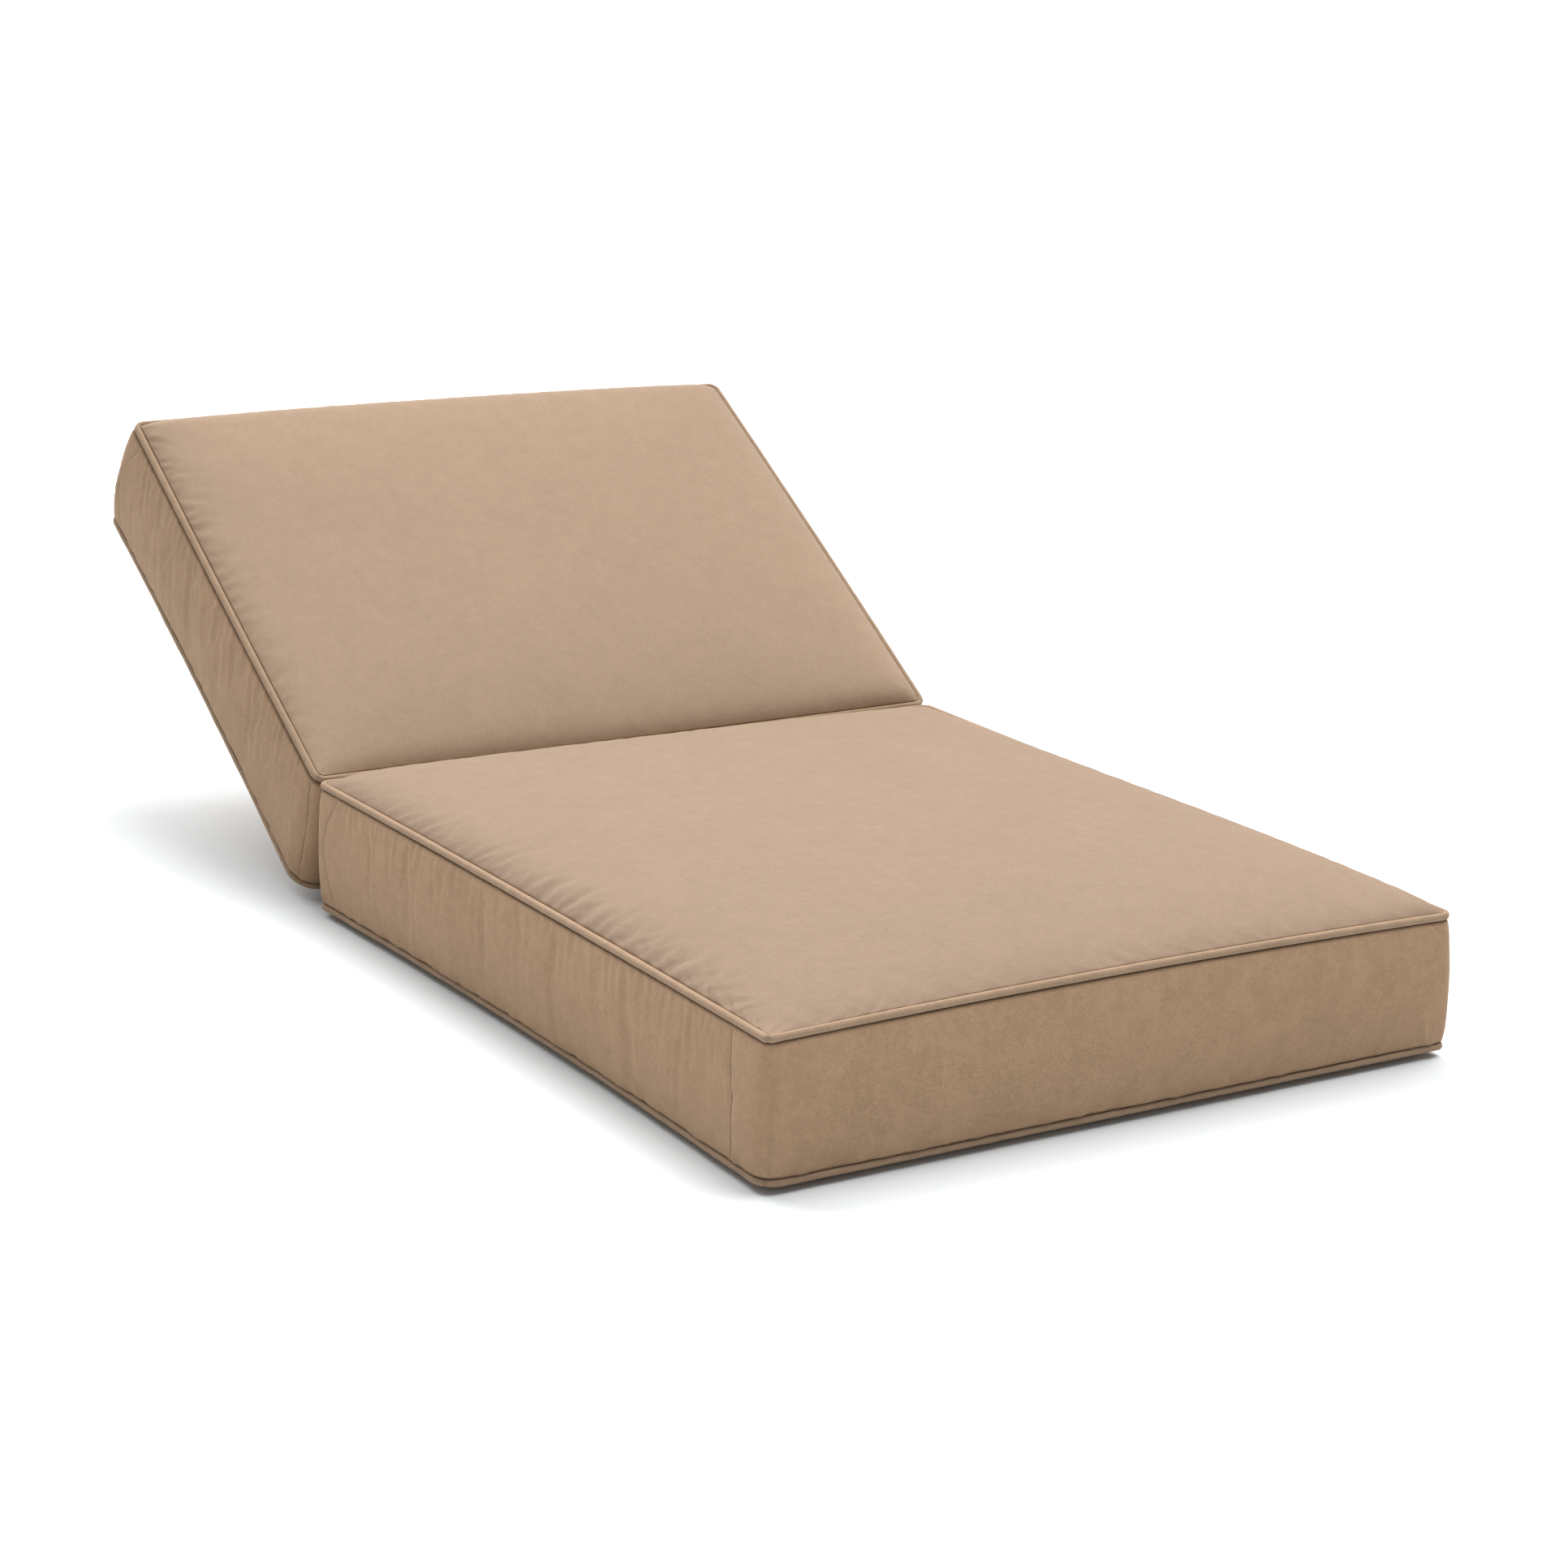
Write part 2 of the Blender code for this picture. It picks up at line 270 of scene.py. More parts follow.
def gathers(rng, place, depth, length, spec):
    # Valleys that start at a seam: each is a Gaussian across, wider as it runs in, with a low ridge on each
    # side; its depth grows over the first millimetres and dies out at its reach
    made = np.zeros_like(place)
    count = int(length / spec["pitch"])
    centres = (np.arange(count) + 0.5 + rng.uniform(-0.38, 0.38, count)) * length / count
    reaches = rng.uniform(*spec["reach"], count)
    widths = rng.uniform(*spec["width"], count)
    leans = rng.normal(spec["lean"], 0.25, count)
    strengths = rng.uniform(0.25, 1.0, count) ** 1.3 * spec["deep"]
    strengths *= np.interp(centres / length, *spec["where"])
    for centre, reach, width, lean, strength in zip(centres, reaches, widths, leans, strengths):
        wide = width * (1 + 0.9 * depth / reach)
        q = (place - centre - lean * depth) / wide
        run = np.maximum(depth - 0.003, 0)
        envelope = (1 - np.exp(-run / 0.006)) * np.exp(-(run / reach) ** 2)
        made += strength * envelope * (0.55 * np.exp(-((np.abs(q) - 1.9) / 1.1) ** 2) - np.exp(-q * q / 2))
    return made


def ripples(rng, place, drop, length, spec):
    # Fine upright ridges in the boxing: narrow Gaussians that hang from the upper welt, fading with the drop
    made = np.zeros_like(place)
    count = int(length / spec["pitch"])
    centres = (np.arange(count) + 0.5 + rng.uniform(-0.45, 0.45, count)) * length / count
    reaches = rng.uniform(*spec["reach"], count)
    widths = rng.uniform(*spec["width"], count)
    leans = rng.normal(spec["lean"], 0.07, count)
    strengths = rng.uniform(0.2, 1.0, count) ** 1.4 * spec["high"]
    strengths *= np.interp(centres / length, *spec["where"])
    for centre, reach, width, lean, strength in zip(centres, reaches, widths, leans, strengths):
        q = (place - centre - lean * drop) / (width * (1 + 0.8 * drop / reach))
        envelope = (1 - np.exp(-drop / 0.004)) * np.exp(-(drop / reach) ** 2)
        made += strength * envelope * (np.exp(-q * q / 2) - 0.45 * np.exp(-((np.abs(q) - 2.0) / 1.2) ** 2))
    return made


even = ((0, 1), (1, 1))


def crossSeams(lines):
    # Each line of places and levels on the left side, and the same on the right; lee is the side with painted
    # shade, and the places run the other way about on the right
    both = []
    for line, tack, lee in lines:
        both.append({"side": 3, "line": line, "tack": tack, "lee": lee})
        both.append({"side": 1, "line": line, "tack": tack, "lee": -lee})
    return both


seatRelief = {
    "seed": 11,
    "keep": {"panel": {3: ((0, 0.05, 0.42, 0.56, 0.8, 1), (0.3, 0.7, 0.65, 0.35, 0.2, 0.15)),
                       0: ((0, 0.12, 0.3, 1), (0.4, 0.35, 0.2, 0.2)), 1: ((0, 1), (0.08, 0.08)),
                       2: ((0, 1), (0.15, 0.15))},
             "box": {0: 0.15, 1: 0.45, 2: 0.2, 3: 0.45}, "reach": 0.042},
    "seams": crossSeams((
        (((0.0716, 0.955), (0.0690, 0.75), (0.0640, 0.49), (0.0640, 0.25), (0.0660, 0.05)), 0.49, -1),
        (((1.100, 0.955), (1.1270, 0.732), (1.1380, 0.50), (1.1290, 0.33), (1.110, 0.06)), 0.50, 1))),
    # folds: a line of places and levels, width and height; dark is painted shade along a valley, or below
    # nought painted highlight along a ridge
    "folds": (
        {"side": 0, "line": ((0.0080, 0.80), (0.0075, 0.45), (0.0080, 0.08)), "wide": 0.0030, "high": -0.0012,
         "dark": 0.10},
        {"side": 0, "line": ((0.0180, 0.94), (0.0100, 0.76)), "wide": 0.0040, "high": 0.0016, "dark": 0.0},
        {"side": 0, "line": ((0.0400, 0.92), (0.0300, 0.62)), "wide": 0.0090, "high": -0.0014, "dark": 0.04},
        {"side": 0, "line": ((0.9600, 0.955), (0.9740, 0.88), (0.9820, 0.80)), "wide": 0.0040, "high": 0.0018,
         "dark": -0.06},
        {"side": 0, "line": ((0.9680, 0.95), (0.9800, 0.88), (0.9890, 0.80)), "wide": 0.0030, "high": -0.0008,
         "dark": 0.14},
        {"side": 0, "line": ((0.9600, 0.25), (0.9660, 0.07)), "wide": 0.0035, "high": 0.0018, "dark": -0.04},
        {"side": 0, "line": ((0.9520, 0.19), (0.9540, 0.06)), "wide": 0.0030, "high": -0.0008, "dark": 0.07},
        {"side": 3, "line": ((0.0360, 0.50), (0.0180, 0.42)), "wide": 0.0040, "high": 0.0009, "dark": 0.0}),
    "gathers": {
        3: {"pitch": 0.030, "reach": (0.020, 0.045), "width": (0.004, 0.008), "deep": 0.0030, "lean": 0.0,
            "where": ((0, 0.04, 0.1, 0.4, 0.55, 0.8, 1), (0.5, 1.15, 0.95, 0.85, 0.45, 0.3, 0.2))},
        0: {"pitch": 0.045, "reach": (0.015, 0.030), "width": (0.004, 0.009), "deep": 0.0016, "lean": 0.0,
            "where": ((0, 0.15, 0.3, 1), (1.2, 0.9, 0.3, 0.3))},
        1: {"pitch": 0.032, "reach": (0.020, 0.040), "width": (0.004, 0.008), "deep": 0.0008, "lean": 0.0,
            "where": even},
        2: {"pitch": 0.045, "reach": (0.015, 0.030), "width": (0.004, 0.009), "deep": 0.0010, "lean": 0.0,
            "where": even},
    },
    "ripples": {
        3: {"pitch": 0.013, "reach": (0.030, 0.120), "width": (0.0018, 0.0036), "high": 0.0008, "lean": 0.03,
            "where": ((0, 0.06, 0.12, 0.6, 0.85, 1), (0.1, 0.2, 0.8, 1.0, 0.8, 0.3))},
        0: {"pitch": 0.035, "reach": (0.030, 0.080), "width": (0.004, 0.009), "high": 0.0006, "lean": 0.0,
            "where": even},
        1: {"pitch": 0.014, "reach": (0.030, 0.110), "width": (0.0020, 0.0040), "high": 0.0009, "lean": 0.0,
            "where": even},
        2: {"pitch": 0.035, "reach": (0.030, 0.080), "width": (0.004, 0.009), "high": 0.0003, "lean": 0.0,
            "where": even},
    },
}
backRelief = {
    "seed": 23,
    "keep": {"panel": {3: ((0, 0.3, 1), (0.12, 0.20, 0.20)), 0: ((0, 1), (0.03, 0.03)),
                       1: ((0, 1), (0.08, 0.08)), 2: ((0, 1), (0.10, 0.10))},
             "box": {0: 0.1, 1: 0.6, 2: 0.3, 3: 0.6}, "reach": 0.030},
    "seams": crossSeams((
        (((0.0110, 0.95), (0.0060, 0.75), (0.0040, 0.50), (0.0050, 0.30), (0.0090, 0.06)), 0.50, -1),
        (((0.7000, 0.95), (0.7200, 0.75), (0.7291, 0.50), (0.7220, 0.30), (0.7050, 0.06)), 0.50, 1))),
    "folds": (),
    "gathers": {
        3: {"pitch": 0.024, "reach": (0.014, 0.030), "width": (0.003, 0.0065), "deep": 0.0014, "lean": 0.15,
            "where": ((0, 0.2, 0.9, 1), (0.4, 1.0, 1.0, 0.8))},
        0: {"pitch": 0.060, "reach": (0.015, 0.030), "width": (0.006, 0.012), "deep": 0.0004, "lean": 0.0,
            "where": even},
        1: {"pitch": 0.030, "reach": (0.015, 0.030), "width": (0.003, 0.005), "deep": 0.0007, "lean": -0.5,
            "where": even},
        2: {"pitch": 0.040, "reach": (0.010, 0.022), "width": (0.005, 0.010), "deep": 0.0006, "lean": 0.0,
            "where": even},
    },
    "ripples": {
        3: {"pitch": 0.016, "reach": (0.050, 0.150), "width": (0.0020, 0.0040), "high": 0.0011, "lean": -0.25,
            "where": even},
        0: {"pitch": 0.035, "reach": (0.030, 0.080), "width": (0.004, 0.009), "high": 0.0003, "lean": 0.0,
            "where": even},
        1: {"pitch": 0.018, "reach": (0.040, 0.120), "width": (0.0020, 0.0040), "high": 0.0009, "lean": 0.2,
            "where": even},
        2: {"pitch": 0.035, "reach": (0.030, 0.080), "width": (0.004, 0.009), "high": 0.0005, "lean": 0.0,
            "where": even},
    },
}


# Slow swells of the boxing as pitch, height and lean, puckers over its lower seam, dips beside a cross seam
swells = ((0.11, 0.0009, 0.02), (0.05, 0.0005, -0.02), (0.023, 0.00025, 0.01))
pucker = {"pitch": 0.016, "high": 0.0006, "above": 0.010, "spread": 0.00009}
seamDip = {"deep": 0.0010, "wide": 0.0040, "tackDeep": 0.0016, "tackWide": 0.0060, "ease": 0.06}


def relief(form, spec, rows, kinds, depths):
    # Moves each loop's points along the surface's outward direction by the gathers, ripples, swells and folds
    rng = np.random.default_rng(spec["seed"])
    x, y, side = loopPlaces(form)
    place = np.where((side == 0) | (side == 2), x, y)
    lengths = (form["width"], form["length"], form["width"], form["length"])
    total = 2 * (form["width"] + form["length"])
    arc = np.concatenate([[0], np.cumsum(np.hypot(np.diff(x), np.diff(y)))])
    out = np.zeros(rows.shape[:2])
    panel, box = kinds == "panel", kinds == "box"
    for k in range(4):
        here = np.flatnonzero(side == k)
        depth = depths[panel][:, None] + 0 * place[here]
        ends = np.minimum(place[here], lengths[k] - place[here])
        fade = np.clip(ends / 0.03, 0, 1) ** 0.5
        made = gathers(rng, place[here] + 0 * depth, depth, lengths[k], spec["gathers"][k]) * fade
        out[np.ix_(np.flatnonzero(panel), here)] = made
        drop = (1 - depths[box])[:, None] * form["thickness"] + 0 * place[here]
        made = ripples(rng, place[here] + 0 * drop, drop, lengths[k], spec["ripples"][k]) * fade
        out[np.ix_(np.flatnonzero(box), here)] = made
    # slow swells in the boxing, nought at the seams
    level = depths[box][:, None]
    swell = sum(noise1(rng, arc + shift * level, pitch, total) * high
                for pitch, high, shift in swells)
    out[box] += swell * np.sin(np.pi * level) ** 0.7
    # puckers just above the lower seam
    above = level * form["thickness"] - pucker["above"]
    low = noise1(rng, arc, pucker["pitch"], total) * np.exp(-above**2 / pucker["spread"])
    out[box] += pucker["high"] * low
    # the cloth dips beside a cross seam, most at its tack
    for path in spec["seams"]:
        here = np.flatnonzero(side == path["side"])
        line = np.array(path["line"])[::-1]
        across = place[here][None] - np.interp(depths[box], line[:, 1], line[:, 0])[:, None]
        away = (level - path["tack"]) * form["thickness"]
        dip = seamDip["deep"] * np.exp(-((across / seamDip["wide"]) ** 2))
        dip = dip + seamDip["tackDeep"] * np.exp(-(across**2 + 0.4 * away**2) / seamDip["tackWide"] ** 2)
        ease = np.clip(np.minimum(level, 1 - level) / seamDip["ease"], 0, 1)
        out[np.ix_(np.flatnonzero(box), here)] -= dip * ease
    for fold in spec["folds"]:
        out += fold["high"] * foldLine(form, fold, kinds, depths)
    return rows + normals(rows) * out[:, :, None]


def foldLine(form, fold, kinds, depths):
    # One along a fold's line of places and levels on the boxing, a Gaussian across it, fading at its ends
    x, y, side = loopPlaces(form)
    here, box = np.flatnonzero(side == fold["side"]), np.flatnonzero(kinds == "box")
    place = (x if fold["side"] in (0, 2) else y)[here]
    line = np.array(fold["line"])[::-1]
    level = depths[box][:, None]
    across = place[None] - np.interp(depths[box], line[:, 1], line[:, 0])[:, None]
    start, stop = level - line[0, 1], line[-1, 1] + 0.03 - level
    ends = np.clip((start + 0.03) / 0.05, 0, 1) * np.clip(stop / 0.05, 0, 1)
    made = np.zeros((len(kinds), len(x)))
    made[np.ix_(box, here)] = np.exp(-((across / fold["wide"]) ** 2)) * ends
    return made


def normals(rows):
    # Outward unit normals of a closed sleeve of loops
    across = np.gradient(rows, axis=0)
    around = np.roll(rows, -1, axis=1) - np.roll(rows, 1, axis=1)
    normal = np.cross(around, across)
    return normal / np.linalg.norm(normal, axis=2, keepdims=True)


clothRun = {"everyColumn": 2, "rowStep": 0.0045, "frames": 20, "pressure": 4.0, "grow": 0.030,
            "tension": 15.0, "bending": 0.3, "quality": 6, "mass": 0.3, "longest": 0.075, "cap": 0.0040,
            "downward": ((0, 0.25, 0.65, 1), (0.15, 0.35, 0.9, 1))}


def settle(form, rows, kinds, depths, keep, spec):
    # Cloth simulation of the cover between its lower seam and the crown: the cloth is cut a little too large,
    # held at the welts and at the last loop, and pressed out by the filling. Kept is the move along the
    # normal, without waves longer than spec["longest"] round the loop, times the share that each side keeps,
    # which fades inward on the panel and downward on the boxing, and eased off at spec["cap"]:
    # move -> cap * tanh(move / cap)
    first = np.flatnonzero(kinds == "box")[0] - 1
    used = np.arange(first, len(rows))
    down = np.concatenate([[0], np.cumsum(np.linalg.norm(np.diff(rows[used, 0], axis=0), axis=1))])
    picked = [0]
    for i in range(1, len(used)):
        if down[i] - down[picked[-1]] > spec["rowStep"] or i == len(used) - 1:
            picked.append(i)
    coarseRows = rows[used[picked]][:, ::spec["everyColumn"]]
    count, n, _ = coarseRows.shape
    made = addMesh("clothRun", coarseRows.reshape(-1, 3), [sleeveFaces(count, n)])
    held = kinds[used[picked]] == "wrap"
    held[[0, -1]] = True
    group = made.vertex_groups.new(name="held")
    group.add(np.flatnonzero(np.repeat(held, n)).tolist(), 1.0, "REPLACE")
    cloth = made.modifiers.new("cloth", "CLOTH")
    put = cloth.settings
    put.vertex_group_mass = "held"
    put.effector_weights.gravity = 0
    put.use_pressure = True
    put.uniform_pressure_force = spec["pressure"]
    put.shrink_min = -spec["grow"]
    put.tension_stiffness = put.compression_stiffness = put.shear_stiffness = spec["tension"]
    put.bending_stiffness = spec["bending"]
    put.mass, put.quality = spec["mass"], spec["quality"]
    cloth.collision_settings.use_collision = False
    cloth.point_cache.frame_start, cloth.point_cache.frame_end = 1, spec["frames"]
    for step in range(1, spec["frames"] + 1):
        bpy.context.scene.frame_set(step)
    shape = made.evaluated_get(bpy.context.evaluated_depsgraph_get()).to_mesh()
    after = np.empty(count * n * 3, np.float32)
    shape.vertices.foreach_get("co", after)
    bpy.data.objects.remove(made, do_unlink=True)
    bpy.context.scene.frame_set(1)
    move = np.einsum("rnc,rnc->rn", after.reshape(count, n, 3) - coarseRows, normals(coarseRows))
    waves = np.fft.rfft(move, axis=1)
    around = np.linalg.norm(rows[used[-1]] - np.roll(rows[used[-1]], 1, axis=0), axis=1).sum()
    length = around / np.maximum(np.arange(waves.shape[1]), 1e-9)
    waves *= 1 - np.exp(-(spec["longest"] / length) ** 4)
    fine = np.fft.irfft(waves, rows.shape[1], axis=1) * rows.shape[1] / n
    print("cloth run: moved up to", round(float(np.abs(move).max()), 4),
          "kept up to", round(float(np.abs(fine).max()), 4))
    weights = np.zeros((len(used), count))
    for j, place in enumerate(down):
        high = min(max(int(np.searchsorted(down[picked], place)), 1), count - 1)
        low = high - 1
        share = (place - down[picked[low]]) / (down[picked[high]] - down[picked[low]])
        weights[j, low], weights[j, high] = 1 - share, share
    out = np.zeros(rows.shape[:2])
    out[used] = weights @ fine
    x, y, side = loopPlaces(form)
    along = np.where((side == 0) | (side == 2), x / form["width"], y / form["length"])
    panelShare, boxShare = np.zeros_like(along), np.zeros_like(along)
    for k in range(4):
        here = side == k
        panelShare[here] = np.interp(along[here], *keep["panel"][k])
        boxShare[here] = keep["box"][k]
    inward = np.exp(-(depths / keep["reach"]) ** 2)
    downward = np.interp(depths, *spec["downward"])
    share = np.where((kinds == "box")[:, None], downward[:, None] * boxShare, inward[:, None] * panelShare)
    share[kinds == "wrap"] = 0
    out = spec["cap"] * np.tanh(out * share / spec["cap"])
    return rows + normals(rows) * out[:, :, None]


def inPlace(form, points):
    # Turns about X by the recline and moves to the frame's place
    t = math.radians(form["turn"])
    spin = np.array([[1, 0, 0], [0, math.cos(t), -math.sin(t)], [0, math.sin(t), math.cos(t)]])
    return points.reshape(-1, 3) @ spin.T + np.array(form["place"])


def addMesh(name, points, faces, uvs=None, marks=None):
    # faces is a list of index arrays, one row a face; uvs has one (u, v) for each corner in the same order;
    # marks are values for each point: crease is painted shade, 1 deep in a seam, 0 in the open and below 0
    # for painted highlight on a fold's ridge; the upper-panel mark is 1 on the upper panel, whose colour gets
    # painted sheen
    corners = np.concatenate([f.ravel() for f in faces]).astype(np.int32)
    sizes = np.concatenate([np.full(len(f), f.shape[1]) for f in faces])
    starts = np.concatenate([[0], np.cumsum(sizes)[:-1]]).astype(np.int32)
    mesh = bpy.data.meshes.new(name)
    mesh.vertices.add(len(points))
    mesh.vertices.foreach_set("co", np.ascontiguousarray(points, np.float32).ravel())
    mesh.loops.add(len(corners))
    mesh.loops.foreach_set("vertex_index", corners)
    mesh.polygons.add(len(sizes))
    mesh.polygons.foreach_set("loop_start", starts)
    if uvs is not None:
        layer = mesh.uv_layers.new(name="cloth")
        layer.uv.foreach_set("vector", np.ascontiguousarray(np.concatenate(uvs), np.float32).ravel())
    for mark, values in (marks or {}).items():
        mesh.attributes.new(mark, "FLOAT", "POINT").data.foreach_set("value", np.asarray(values, np.float32))
    mesh.update(calc_edges=True)
    mesh.validate()
    mesh.shade_smooth()
    made = bpy.data.objects.new(name, mesh)
    bpy.context.scene.collection.objects.link(made)
    return made


def sleeveFaces(rowCount, n):
    # Squares between neighbouring loops of n points
    r, k = np.meshgrid(np.arange(rowCount - 1), np.arange(n), indexing="ij")
    k2 = (k + 1) % n
    return np.stack([r * n + k, r * n + k2, (r + 1) * n + k2, (r + 1) * n + k], -1).reshape(-1, 4)


def capFaces(ring, cells, base, upward):
    # Fans from the last loop to the coarser grid's rim, and the grid's own squares
    nx, ny = cells[0] // coarse, cells[1] // coarse
    grid = base + np.arange((nx + 1) * (ny + 1)).reshape(ny + 1, nx + 1)
    rim = np.concatenate([grid[0, :-1], grid[:-1, -1], grid[-1, :0:-1], grid[:0:-1, 0]])
    f = ring.reshape(-1, coarse)
    nextFirst = np.roll(ring, -coarse).reshape(-1, coarse)[:, 0]
    f = np.concatenate([f, nextFirst[:, None]], 1)
    c0, c1 = rim, np.roll(rim, -1)
    half = coarse // 2
    fans = [np.stack([f[:, j], f[:, j + 1], c0 if j < half else c1], -1) for j in range(coarse)]
    fans.append(np.stack([f[:, half], c1, c0], -1))
    tris = np.concatenate(fans)
    quads = np.stack([grid[:-1, :-1], grid[:-1, 1:], grid[1:, 1:], grid[1:, :-1]], -1).reshape(-1, 4)
    return (tris, quads) if upward else (tris[:, ::-1], quads[:, ::-1])


# How deep a seam's shade is: on the panel's side of the groove, in the groove, on the boxing's edge
creaseMarks = {"nearPanel": 0.10, "wrap": 0.75, "box": 0.45, "boxRun": 0.0009}


def addCover(name, form, spec):
    # One closed cover: the sleeve of loops, fans from its end loops, and the coarser middles of both panels
    rows, kinds, depths = sleeve(form)
    rows = relief(form, spec, rows, kinds, depths)
    rows = settle(form, rows, kinds, depths, spec["keep"], clothRun)
    count, n, _ = rows.shape
    lower, _, _ = middle(form, 0.0)
    upper, _, _ = middle(form, 1.0)
    points = np.concatenate([rows.reshape(-1, 3), lower.reshape(-1, 3), upper.reshape(-1, 3)])
    sides = sleeveFaces(count, n)
    baseLow = count * n
    baseHigh = baseLow + lower.shape[0] * lower.shape[1]
    lowTris, lowQuads = capFaces(np.arange(n), form["cells"], baseLow, False)
    highTris, highQuads = capFaces((count - 1) * n + np.arange(n), form["cells"], baseHigh, True)
    # cloth coordinates in metres: the panels read straight across, the boxing reads round the loop and up
    x, y, _ = loopPlaces(form)
    step = np.hypot(np.roll(x, -1) - x, np.roll(y, -1) - y)
    arc = np.concatenate([[0], np.cumsum(step)])
    flat = points[:, :2]
    r, k = np.meshgrid(np.arange(count - 1), np.arange(n), indexing="ij")
    height = np.concatenate([[0], np.cumsum(np.linalg.norm(np.diff(rows[:, 0], axis=0), axis=1))])
    boxUv = np.stack([np.stack([arc[k], arc[k + 1], arc[k + 1], arc[k]], -1),
                      np.stack([height[r], height[r], height[r + 1], height[r + 1]], -1)], -1)
    onPanel = np.isin(kinds, ("panel", "under"))
    isPanel = np.broadcast_to((onPanel[:-1] & onPanel[1:])[:, None], (count - 1, n)).reshape(-1)
    sideUv = np.where(isPanel[:, None, None], flat[sides], boxUv.reshape(-1, 4, 2))
    uvs = [sideUv.reshape(-1, 2)] + [flat[f].reshape(-1, 2) for f in (lowTris, lowQuads, highTris, highQuads)]
    # painted shade beside the welts: the crease mark is deep on the wraps round each welt, light on the upper
    # panel's side, and fades on the boxing away from both seams
    reach = (weltRadius + tuck["gap"]) * tuck["clear"]
    fromSeam = np.minimum(depths, 1 - depths) * form["thickness"] - reach
    nearPanel = (kinds == "wrap") & (np.arange(count) >= count - len(panelInsets) - tuck["steps"] // 2)
    onBox = creaseMarks["box"] * np.exp(-fromSeam / creaseMarks["boxRun"])
    deep = np.select([nearPanel, kinds == "wrap", kinds == "box"],
                     [creaseMarks["nearPanel"], creaseMarks["wrap"], onBox], 0.0)
    marks = {"crease": np.zeros(len(points)), "upperPanel": np.zeros(len(points))}
    # painted shade along fold valleys and painted highlight along fold ridges
    dark = np.zeros((count, n))
    for fold in spec["folds"]:
        dark += fold["dark"] * foldLine(form, fold, kinds, depths)
    marks["crease"][:count * n] = np.clip(np.minimum(deep, 1)[:, None] + dark, -0.1, 1).ravel()
    # the upper-panel mark: 1 on the upper panel, where the colour is tinted to paint sheen and the mottling
    # is weaker
    marks["upperPanel"][:count * n] = np.repeat(kinds == "panel", n)
    marks["upperPanel"][baseHigh:] = 1
    for k, path in enumerate(spec["seams"]):
        addSeam(name + "Seam" + str(k + 1), form, rows, kinds, depths, path)
    faces = [sides, lowTris, lowQuads, highTris, highQuads]
    return addMesh(name, inPlace(form, points), faces, uvs, marks)


def onBoxing(form, rows, kinds, depths, side, place, level):
    # Points of the finished boxing, read off its loops: place along the side, level from 0 to 1
    x, y, sides = loopPlaces(form)
    columns = np.flatnonzero(sides == side)
    where = (x if side in (0, 2) else y)[columns]
    order = np.argsort(where)
    column = np.interp(place, where[order], columns[order].astype(float))
    box = np.flatnonzero(kinds == "box")
    row = np.interp(level, depths[box], box.astype(float))
    r, c = np.floor(row).astype(int), np.floor(column).astype(int)
    r = np.minimum(r, box[-1] - 1)
    fr, fc = (row - r)[:, None], (column - c)[:, None]
    c2 = (c + 1) % rows.shape[1]
    return ((rows[r, c] * (1 - fc) + rows[r, c2] * fc) * (1 - fr)
            + (rows[r + 1, c] * (1 - fc) + rows[r + 1, c2] * fc) * fr)


seamLook = {"wide": 0.0010, "high": 0.0007, "steps": 90, "sides": 10, "shade": 0.5,
            "tackLength": 0.0032, "tackWide": 0.0011, "tackSteps": 12}


def addSeam(name, form, rows, kinds, depths, path):
    # A cross seam: a thin raised line that follows the boxing, half an ellipse across, dark in its lee, with
    # a small bar tack across it
    knots = np.array(path["line"])
    t = np.linspace(0, 1, seamLook["steps"])
    steps = np.hypot(np.diff(knots[:, 0]), np.diff(knots[:, 1]) * form["thickness"])
    spread = np.concatenate([[0], np.cumsum(steps)])
    spread /= spread[-1]
    smooth = [np.interp(t, spread, knots[:, k]) for k in (0, 1)]
    kernel = np.exp(-np.linspace(-2, 2, 13) ** 2)
    kernel /= kernel.sum()
    place, level = (np.convolve(np.pad(c, 6, "edge"), kernel, "valid") for c in smooth)
    middle = onBoxing(form, rows, kinds, depths, path["side"], place, level)
    beside = onBoxing(form, rows, kinds, depths, path["side"], place + 0.002, level)
    across = beside - middle
    along = np.gradient(middle, axis=0)
    out = np.cross(across, along)
    out /= np.linalg.norm(out, axis=1, keepdims=True)
    centre = np.array([form["width"] / 2, form["length"] / 2, form["thickness"] / 2])
    out *= np.sign(np.einsum("nc,nc->n", out, middle - centre))[:, None]
    across = np.cross(along, out)
    across /= np.linalg.norm(across, axis=1, keepdims=True)
    ends = np.sqrt(np.clip(1 - (2 * t - 1) ** 40, 0, 1))
    addRod(name, form, middle, across, out, seamLook["wide"] * ends, seamLook["high"] * ends, path["lee"])
    at = int(np.argmin(np.abs(level - path["tack"])))
    reach = np.linspace(-1, 1, seamLook["tackSteps"])
    bar = middle[at] + across[at] * seamLook["tackLength"] / 2 * reach[:, None]
    ends = np.sqrt(np.clip(1 - reach**4, 0, 1))
    whole = np.ones((seamLook["tackSteps"], 1))
    addRod(name + "Tack", form, bar, whole * (along[at] / np.linalg.norm(along[at])), whole * out[at],
           seamLook["tackWide"] / 2 * ends, seamLook["tackWide"] / 2 * ends, None)


